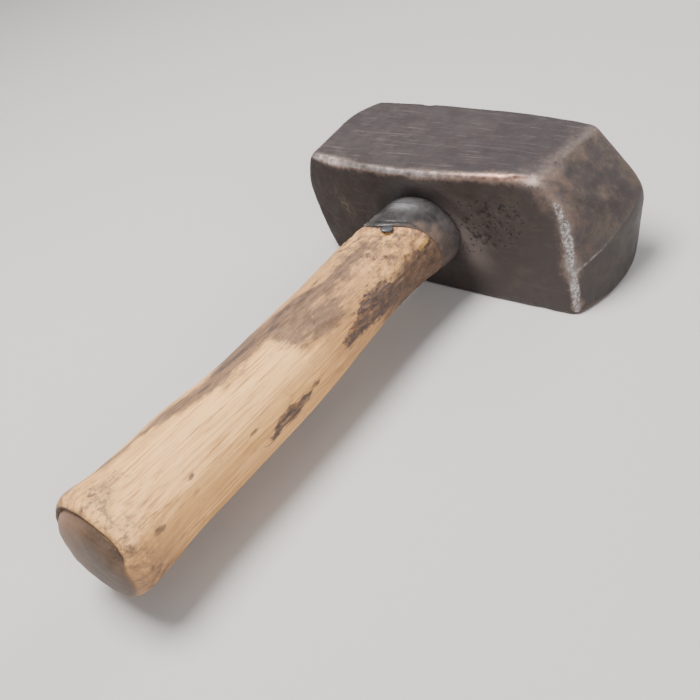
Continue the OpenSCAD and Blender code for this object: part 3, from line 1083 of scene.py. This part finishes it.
def forged_steel():
    """Old forged steel: brown-black scale, rubbed bright along its edges, rusty in places, with painted
    shade on the near face and round the eye, and painted highlights.
    """
    m = Paint("forged_steel", specular=0.40)
    cloud = m.noise(26, 5, 0.6, warp=0.6)
    mottle = m.noise(5.5, 5, 0.62)
    grit = m.noise(0.9, 3, 0.6)
    drawn = m.noise((34, 1.3, 1.3), 5, 0.62)
    end, top, near = m.mask("end_side"), m.mask("top_side"), m.mask("near_side")
    m.colour = m.ramp(
        cloud, (0.30, 0.051, 0.042, 0.041), (0.5, 0.061, 0.050, 0.049), (0.70, 0.074, 0.062, 0.061),
    )
    m.patch(mottle, 0.42, 0.68, 0.22, (0.112, 0.092, 0.090))
    m.patch(mottle, 0.50, 0.30, 0.25, (0.046, 0.037, 0.036))
    # Painted shade: the near face darker as a whole, and darker still towards its left end.
    m.coat(m.mask("left_end_shade", 0.85), (0.022, 0.0155, 0.0135))
    m.coat(m.times(near, 0.70), (0.036, 0.026, 0.023))
    m.coat(m.times(top, 0.50), (0.064, 0.053, 0.053))
    m.coat(m.times(m.times(top, m.mask("towards_end")), 0.40), (0.043, 0.034, 0.037))
    # Dark streaks, gleams and scratches along the head, strongest on top.
    scratch = m.noise((13, 0.55, 0.55), 3, 0.5)
    for value, low, high, most, on_top, elsewhere, colour in (
        (drawn, 0.56, 0.70, 0.75, 0.75, 0.20, (0.040, 0.032, 0.033)),
        (drawn, 0.44, 0.28, 0.70, 0.75, 0.15, (0.170, 0.142, 0.130)),
        (scratch, 0.64, 0.72, 0.60, 0.80, 0.15, (0.20, 0.175, 0.165)),
    ):
        strength = m.plus(m.times(top, on_top), elsewhere)
        m.coat(m.times(m.rise(value, low, high, 0, most), strength), colour)
    m.patch(grit, 0.60, 0.74, 0.35, (0.042, 0.034, 0.032))
    # Warm, rusty places and a yellow-grey dust.
    corner = m.mask("corner")
    rust_cloud = m.plus(m.noise(7, 8, 0.76), m.times(corner, 0.16))
    rust_cloud = m.plus(rust_cloud, m.times(end, 0.05))
    dirty_part = m.plus(0.30, m.times(m.larger(end, corner), 0.8), clamp=True)
    rusty = m.times(m.rise(rust_cloud, 0.52, 0.76), dirty_part)
    m.coat(m.times(rusty, 0.46), (0.165, 0.092, 0.058))
    dust_cloud = m.plus(m.noise(9, 8, 0.78), m.times(end, 0.07))
    dust = m.times(m.rise(dust_cloud, 0.52, 0.70), dirty_part)
    m.coat(m.times(dust, 0.36), (0.180, 0.135, 0.086))
    # Under the fold of the struck end the metal is plainer and darker.
    m.coat(m.mask("below", 0.75), (0.050, 0.042, 0.040))
    # Painted shade round the eye, heavier towards its upper left.
    m.coat(m.mask("shade_round_eye", 0.78), (0.024, 0.021, 0.021))
    # Painted light on the near face right of the collar, lifting the shade there.
    m.coat(m.mask("painted_fill_light"), (0.200, 0.160, 0.148))
    smudge = m.times(m.mask("smudge"), m.rise(m.noise(1.5, 6, 0.75), 0.44, 0.58))
    m.coat(m.times(smudge, 0.50), (0.150, 0.104, 0.072))
    wobbly = m.node("ShaderNodeVectorMath", {0: m.place, 1: m.noise(0.9, 3, 0.6)}, operation="ADD")
    holes = m.node("ShaderNodeTexVoronoi", {"Vector": wobbly.outputs[0], "Scale": 0.62})
    pinhole = m.times(m.rise(holes.outputs["Distance"], 0.34, 0.16), m.mask("rough"))
    pitted = m.larger(m.mask("pits"), pinhole)
    m.coat(m.mask("rough", 0.35), (0.068, 0.053, 0.048))
    m.coat(m.times(pitted, 0.70), (0.018, 0.014, 0.013))
    # Rubbed edges, broken up by the grit: silver, turning copper-brown towards the struck end; the bright
    # patch on the near right corner is partly a painted highlight.
    broken = m.plus(m.mask("wear"), m.swing(m.noise(1.5, 7, 0.78), 1.35))
    m.patch(broken, 0.10, 0.62, 0.62, (0.175, 0.122, 0.100))
    bare = m.rise(broken, 0.50, 0.96)
    patchy = m.noise(3.2, 4, 0.6)
    silver = m.ramp(
        patchy, (0.32, 0.125, 0.102, 0.095), (0.5, 0.23, 0.20, 0.19), (0.68, 0.44, 0.41, 0.40),
    )
    copper = m.ramp(
        patchy, (0.32, 0.125, 0.065, 0.046), (0.5, 0.25, 0.135, 0.098), (0.68, 0.43, 0.265, 0.205),
    )
    bare_colour = m.mix(m.mask("towards_end", 0.92), silver, copper)
    m.coat(m.times(bare, 0.92), bare_colour)
    # Painted highlights: a pale pink glint on the corner and the near top edge.
    painted_glint = m.times(m.mask("painted_glint"), m.rise(m.noise(1.8, 6, 0.75), 0.38, 0.52, 0.20, 1.0))
    m.coat(m.times(painted_glint, 0.90), (0.90, 0.70, 0.63))
    # A light line painted along the fold's ridge: a painted highlight.
    fold = m.times(m.mask("fold"), m.rise(m.noise(2.0, 4, 0.6), 0.35, 0.6, 0.35, 1.0))
    m.patch(fold, 0.15, 0.9, 0.65, (0.30, 0.265, 0.245))
    chewed = m.times(m.mask("burr"), m.rise(m.noise(1.5, 6, 0.75), 0.42, 0.54, 0.15, 1.0))
    burr = m.rise(chewed, 0.15, 0.60)
    burr_colour = m.blend(m.noise(0.8, 4, 0.7), 0.42, 0.58, (0.15, 0.135, 0.13), (0.52, 0.50, 0.49))
    m.coat(m.times(burr, 0.88), burr_colour)
    bright = m.larger(bare, burr)
    shine = m.rise(mottle, 0.3, 0.7, 0.44, 0.60)
    m.feed(m.shader, {"Specular IOR Level": m.rise(m.mask("left_end_shade"), 0, 1, 0.40, 0.10)})
    shine = m.plus(shine, m.times(bright, -0.12), clamp=True)
    shine = m.plus(shine, m.times(rusty, 0.12), clamp=True)
    metal = m.plus(0.34, m.times(bright, 0.41), clamp=True)
    metal = m.minus(metal, m.times(near, 0.20), clamp=True)
    metal = m.minus(metal, m.times(rusty, 0.3), clamp=True)
    normal = m.bump(m.noise(0.55, 4, 0.6), 0.05, 0.5)
    normal = m.bump(mottle, 0.20, 0.5, normal)
    normal = m.bump(m.times(m.noise(1.2, 5, 0.7), m.mask("rough")), 0.16, 0.6, normal)
    normal = m.bump(m.minus(1.0, pinhole), 0.30, 0.8, normal)
    normal = m.bump(drawn, 0.06, 0.5, normal)
    return m.finish(shine, metal, normal)


def worn_ash():
    """Pale ash: straight grain, palm-polished, stained by grime near the head, with painted light along its
    top and painted shade on the sides turned away from the light.
    """
    m = Paint("worn_ash", specular=0.35)
    grain = m.noise((0.62, 24, 0.62), 6, 0.66)
    rings = m.noise((2.4, 90, 2.4), 3, 0.5)
    fibre = m.noise((0.26, 3.0, 0.26), 3, 0.6)
    cloud = m.noise((15, 24, 15), 4, 0.55, warp=0.5)
    blotch = m.noise((3.2, 6, 3.2), 5, 0.62, warp=0.6)
    m.colour = m.ramp(
        grain, (0.34, 0.30, 0.125, 0.042), (0.46, 0.70, 0.345, 0.108), (0.58, 0.98, 0.530, 0.182),
    )
    m.patch(rings, 0.42, 0.60, 0.55, (0.62, 0.300, 0.095))
    m.patch(cloud, 0.40, 0.66, 0.40, (0.88, 0.48, 0.195))
    m.patch(cloud, 0.46, 0.28, 0.45, (0.50, 0.275, 0.115))
    m.patch(blotch, 0.54, 0.72, 0.30, (0.44, 0.240, 0.105))
    m.patch(fibre, 0.58, 0.76, 0.35, (0.42, 0.215, 0.085))
    m.coat(m.mask("tan", 0.62), (0.76, 0.405, 0.125))
    lines = m.rise(grain, 0.40, 0.55, 0.15, 1.0)
    # Lighter grain over the top of the middle: polish, and painted light.
    m.coat(m.times(m.times(m.mask("polish_and_light"), lines), 0.80), (1.0, 0.58, 0.225))
    # Brown glaze near the head, and painted shade on the sides turned away from the light.
    m.coat(m.mask("glaze_and_shade", 0.50), (0.36, 0.190, 0.085))
    flaky = m.noise((2.4, 3.4, 2.4), 7, 0.74)
    near_collar = m.mask("grimy")
    # Brown grime, dark flakes and lit flakes.
    for low, high, level, colour in (
        (0.47, 0.56, 0.80, (0.200, 0.120, 0.085)),
        (0.55, 0.61, 0.80, (0.066, 0.041, 0.033)),
        (0.47, 0.40, 0.72, (0.94, 0.52, 0.205)),
    ):
        m.coat(m.times(m.times(near_collar, m.rise(flaky, low, high)), level), colour)
    smear = m.noise((2.0, 7.0, 2.0), 7, 0.70)
    # Brown dirt, partly painted shade on the left side of the grip.
    brown = m.plus(m.mask("brown"), m.swing(smear, 1.6))
    smear_tone = m.noise((1.2, 5, 1.2), 5, 0.66)
    brown_colour = m.blend(smear_tone, 0.38, 0.62, (0.085, 0.052, 0.038), (0.190, 0.115, 0.074))
    m.patch(brown, 0.15, 0.68, 0.90, brown_colour)
    streaky = m.times(m.mask("dark"), m.rise(smear, 0.34, 0.60, 0.35, 0.95))
    m.coat(streaky, (0.070, 0.047, 0.041))
    ragged = m.swing(m.noise((1.3, 3.0, 1.3), 7, 0.75), 2.1)
    grey = m.rise(m.plus(m.mask("grey"), ragged), 0.34, 0.70)
    hatch = m.rise(m.noise((0.9, 3.4, 0.9), 6, 0.72), 0.38, 0.54, 0.66, 0.97)
    grey_colour = m.blend(flaky, 0.42, 0.62, (0.050, 0.035, 0.036), (0.090, 0.061, 0.057))
    m.coat(m.times(grey, hatch), grey_colour)
    smooth_brown = m.blend(blotch, 0.4, 0.65, (0.080, 0.051, 0.039), (0.135, 0.084, 0.060))
    m.coat(m.mask("soaked", 0.90), smooth_brown)
    for name, level, colour in (
        ("yellow", 0.70, (0.60, 0.35, 0.085)),
        ("collar_line", 0.55, (0.16, 0.10, 0.075)),
        ("fleck", 0.60, (0.22, 0.13, 0.075)),
    ):
        m.coat(m.mask(name, level), colour)
    knock = m.plus(m.mask("knock"), m.swing(fibre, 0.9))
    knock = m.plus(knock, m.swing(flaky, 1.2))
    knock_colour = m.blend(flaky, 0.42, 0.60, (0.060, 0.040, 0.036), (0.160, 0.108, 0.085))
    m.patch(knock, 0.26, 0.80, 0.82, knock_colour)
    # End grain: growth rings on the sawn ends, darkened by dirt.
    ends = m.mask("end_grain")
    inputs = {"Vector": m.moved((24, 0, 38)), "Scale": 0.16, "Distortion": 1.6, "Detail": 3}
    growth = m.node("ShaderNodeTexWave", inputs, wave_type="RINGS", rings_direction="Y")
    end_colour = m.ramp(
        growth.outputs["Fac"],
        (0.0, 0.088, 0.054, 0.033), (0.6, 0.100, 0.063, 0.040), (1.0, 0.078, 0.048, 0.030),
    )
    end_colour = m.mix(m.rise(m.noise(6, 4, 0.6), 0.40, 0.66, 0, 0.5), end_colour, (0.150, 0.096, 0.064))
    end_colour = m.mix(m.rise(m.noise(0.5, 3, 0.6), 0.56, 0.72, 0, 0.35), end_colour, (0.12, 0.075, 0.05))
    end_colour = m.mix(m.mask("end_warm", 0.80), end_colour, (0.270, 0.152, 0.096))
    m.coat(ends, end_colour)
    # Painted shade in the crease under the butt's rolled lip.
    m.coat(m.mask("lip", 0.9), (0.050, 0.032, 0.028))
    shine = m.rise(grain, 0.3, 0.7, 0.56, 0.43)
    shine = m.minus(shine, m.mask("polish_and_light", 0.06))
    normal = m.bump(grain, 0.36, 0.85)
    normal = m.bump(fibre, 0.05, 0.5, normal)
    normal = m.bump(m.times(flaky, near_collar), 0.8, 0.8, normal)
    return m.finish(shine, 0.0, normal)


def collar_steel():
    """Thin drawn steel, grey-blue, rubbed on its shoulder and dark in its groove; painted highlight on the
    dome, painted shade by the head and on the lower right.
    """
    m = Paint("collar_steel")
    mottle = m.noise(3.2, 5, 0.6)
    scratch = m.noise((7, 0.5, 7), 4, 0.6)
    m.colour = m.ramp(
        mottle, (0.32, 0.040, 0.035, 0.036), (0.5, 0.059, 0.053, 0.054), (0.68, 0.088, 0.083, 0.086),
    )
    m.patch(scratch, 0.56, 0.70, 0.4, (0.042, 0.037, 0.037))
    m.patch(m.noise(6, 5, 0.65), 0.60, 0.74, 0.45, (0.16, 0.095, 0.06))
    worn = m.plus(m.mask("wear"), m.swing(m.noise(1.6, 4, 0.6), 0.7))
    bare = m.rise(worn, 0.25, 0.95)
    m.coat(m.times(bare, 0.45), (0.20, 0.195, 0.20))
    # Dark in the groove, and painted shade where the collar meets the head.
    m.coat(m.mask("grime", 0.85), (0.022, 0.019, 0.018))
    m.patch(m.mask("crumple"), 0.3, 0.9, 0.35, (0.20, 0.18, 0.17))
    # Painted highlight on top of the dome.
    dome = m.times(m.mask("dome"), m.rise(scratch, 0.40, 0.56, 0.45, 1.0))
    m.coat(m.times(dome, 0.70), (0.42, 0.42, 0.43))
    # Lower right side: a brown stain with painted shade, darkest by the head.
    stained = m.mask("stained")
    soot_and_shade = m.blend(m.noise(2.2, 5, 0.6), 0.38, 0.62, (0.036, 0.030, 0.030), (0.062, 0.050, 0.048))
    brown = m.blend(m.noise(3.0, 5, 0.6), 0.38, 0.62, (0.070, 0.048, 0.040), (0.125, 0.082, 0.062))
    brown = m.mix(m.mask("outer"), soot_and_shade, brown)
    m.coat(m.times(stained, 0.93), brown)
    shine = m.rise(bare, 0.0, 1.0, 0.46, 0.30)
    shine = m.plus(shine, m.times(stained, 0.22), clamp=True)
    metal = m.times(m.rise(bare, 0.0, 1.0, 0.55, 0.8), m.rise(stained, 0.0, 1.0, 1.0, 0.10))
    normal = m.bump(m.noise(0.5, 4, 0.6), 0.04, 0.5)
    normal = m.bump(scratch, 0.06, 0.4, normal)
    return m.finish(shine, metal, normal)


def nail_steel():
    """Blue-grey wire nail with a little rust."""
    m = Paint("nail_steel")
    mottle = m.noise(0.9, 5, 0.6)
    m.colour = m.ramp(
        mottle, (0.3, 0.040, 0.042, 0.048), (0.55, 0.075, 0.080, 0.088), (0.75, 0.12, 0.125, 0.13),
    )
    m.coat(m.mask("wear", 0.40), (0.16, 0.172, 0.185))
    m.patch(m.noise(1.4, 4, 0.6), 0.58, 0.7, 0.6, (0.14, 0.075, 0.045))
    return m.finish(m.rise(mottle, 0.3, 0.7, 0.35, 0.52), 0.75, m.bump(mottle, 0.08, 0.6))


def wedge_wood():
    """Hardwood wedge, crushed and dark where it was driven."""
    m = Paint("wedge_wood", specular=0.3)
    grain = m.noise((0.5, 14, 0.5), 4, 0.6)
    pores = m.noise((0.45, 6, 0.30), 3, 0.6)
    m.colour = m.ramp(
        grain, (0.3, 0.24, 0.135, 0.070), (0.5, 0.36, 0.215, 0.115), (0.7, 0.46, 0.30, 0.17),
    )
    dirty = m.rise(m.noise(4, 4, 0.6), 0.35, 0.65, 0.35, 0.85)
    m.coat(m.times(m.mask("driven"), dirty), (0.15, 0.095, 0.060))
    m.patch(pores, 0.56, 0.7, 0.6, (0.075, 0.045, 0.03))
    return m.finish(m.rise(grain, 0.3, 0.7, 0.72, 0.58), 0.0, m.bump(pores, 0.12, 0.7))


def wedge_steel():
    """Mild steel wedge, rusted, bright where the hammer struck it."""
    m = Paint("wedge_steel")
    mottle = m.noise(2.0, 5, 0.65, warp=0.6)
    m.colour = m.ramp(
        mottle, (0.30, 0.055, 0.042, 0.037), (0.48, 0.105, 0.078, 0.065),
        (0.62, 0.17, 0.095, 0.055), (0.8, 0.24, 0.125, 0.06),
    )
    struck = m.plus(m.mask("wear"), m.swing(m.noise(0.8, 4, 0.6), 0.9))
    bare = m.rise(struck, 0.35, 1.0)
    m.coat(bare, (0.42, 0.39, 0.37))
    normal = m.bump(m.noise(0.4, 3, 0.6), 0.08, 0.6)
    return m.finish(m.rise(bare, 0, 1, 0.62, 0.36), m.rise(bare, 0, 1, 0.45, 0.9), normal)


# ---- Pieces, each on its body, in the place of its CAD node

# Wedges: half sizes in X and Z at the tip and at the driven end, and where they lie along Y.
WOOD_WEDGE = ((10.9, 0.62), (11.3, 2.25), (TENON_END - 30, TENON_END))
STEEL_WEDGE = ((0.32, 6.3), (1.35, 6.45), (STEEL_HIGH[1] - 15, STEEL_HIGH[1]))
STEEL_ASIDE = 6.0
# Room left round the wedges in the handle, at their sides and at their tips.
CUT_GAP = 0.06
TIP_GAP = 0.1


def cut_wedges(handle):
    """Takes the wedges' room out of the handle's end."""
    cutters = []
    for middle in (0, -STEEL_ASIDE, STEEL_ASIDE):
        tip, butt, ends = STEEL_WEDGE if middle else WOOD_WEDGE
        tip, butt = np.array(tip) + CUT_GAP, np.array(butt) + CUT_GAP
        ends = (ends[0] - TIP_GAP, ends[1] + 1.5)
        cutters.append(make_wedge("cutter", middle, tip, butt, ends, 1.2, 0.15, 0.0, 1))
    cut(handle, cutters)


def place(obj, node, slot, material):
    obj.data.materials.clear()
    obj.data.materials.append(material)
    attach(obj, BODY)
    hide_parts(node)


def main():
    head = make_head()
    handle = make_handle()
    cut_wedges(handle)
    paint_handle(handle)
    place(head, "head", "head_steel", forged_steel())
    place(handle, "handle", "handle_wood", worn_ash())
    place(make_collar(), "collar", "collar_steel", collar_steel())
    place(make_nail(), "collar_nail", "nail_steel", nail_steel())
    timber = make_wedge("wedge_timber", 0, *WOOD_WEDGE, 0.45, 0.35, 0.16, 601)
    place(timber, "wood_wedge", "wedge_wood", wedge_wood())
    iron = wedge_steel()
    for side, middle, seed in (("left", -STEEL_ASIDE, 611), ("right", STEEL_ASIDE, 621)):
        wedge = make_wedge("wedge_iron_" + side, middle, *STEEL_WEDGE, 0.3, 0.3, 0.14, seed)
        place(wedge, "steel_wedge_" + side, "wedge_steel", iron)


main()

# ---- Floor, light and camera

FLOOR = 6.0
PAPER = (0.53, 0.52, 0.51)


def make_floor():
    mesh = bpy.data.meshes.new("floor")
    corners = [(-FLOOR, -FLOOR, 0), (FLOOR, -FLOOR, 0), (FLOOR, FLOOR, 0), (-FLOOR, FLOOR, 0)]
    mesh.from_pydata(corners, [], [(0, 1, 2, 3)])
    paper = bpy.data.materials.new("floor_paper")
    paper.use_nodes = True
    sockets = paper.node_tree.nodes["Principled BSDF"].inputs
    sockets["Base Color"].default_value = (*PAPER, 1)
    sockets["Roughness"].default_value = 0.9
    sockets["Specular IOR Level"].default_value = 0.2
    mesh.materials.append(paper)
    made = bpy.data.objects.new("floor", mesh)
    bpy.context.scene.collection.objects.link(made)
    return made


floor = make_floor()

LIGHT_AIM = Vector((0.0, -0.05, 0.02))
# Name, place and width in metres, power in watts, colour.
LIGHTS = (
    ("key", (-0.16, -0.16, 0.80), 0.45, 14.9, (1.0, 0.98, 0.955)),
    ("fill", (0.85, -0.35, 0.50), 0.7, 5.5, (1.0, 0.98, 0.97)),
    ("back", (0.1, 0.8, 0.6), 0.6, 3.5, (1, 1, 1)),
)
for name, spot_from, width, power, tint in LIGHTS:
    lamp = bpy.data.lights.new(name, "AREA")
    lamp.shape = "DISK"
    lamp.size = width
    lamp.energy = power
    lamp.color = tint
    light = bpy.data.objects.new(name, lamp)
    light.location = spot_from
    light.rotation_mode = "QUATERNION"
    light.rotation_quaternion = (LIGHT_AIM - Vector(spot_from)).to_track_quat("-Z", "Y")
    bpy.context.scene.collection.objects.link(light)

SKY = (0.90, 0.93, 1.0, 1)
SKY_STRENGTH = 0.28
world = bpy.data.worlds.new("studio")
bpy.context.scene.world = world
world.use_nodes = True
sky = world.node_tree.nodes["Background"].inputs
sky["Color"].default_value = SKY
sky["Strength"].default_value = SKY_STRENGTH

# The camera: its place in metres, its own axes in the frame, focal length and sensor width in mm.
CAMERA_PLACE = (0.17016, -0.21594, 0.17925)
CAMERA_RIGHT = (0.76024, 0.60367, -0.24003)
CAMERA_UP = (-0.24128, 0.60544, 0.75844)
CAMERA_BACK = (0.60317, -0.51868, 0.60593)
LENS, SENSOR = 46.24, 36.0

lens = bpy.data.cameras.new("camera")
lens.lens, lens.sensor_width = LENS, SENSOR
lens.clip_start, lens.clip_end = 0.01, 20
camera = bpy.data.objects.new("camera", lens)
axes = Matrix((CAMERA_RIGHT, CAMERA_UP, CAMERA_BACK)).transposed().to_4x4()
camera.matrix_world = Matrix.Translation(CAMERA_PLACE) @ axes
bpy.context.scene.collection.objects.link(camera)
bpy.context.scene.camera = camera
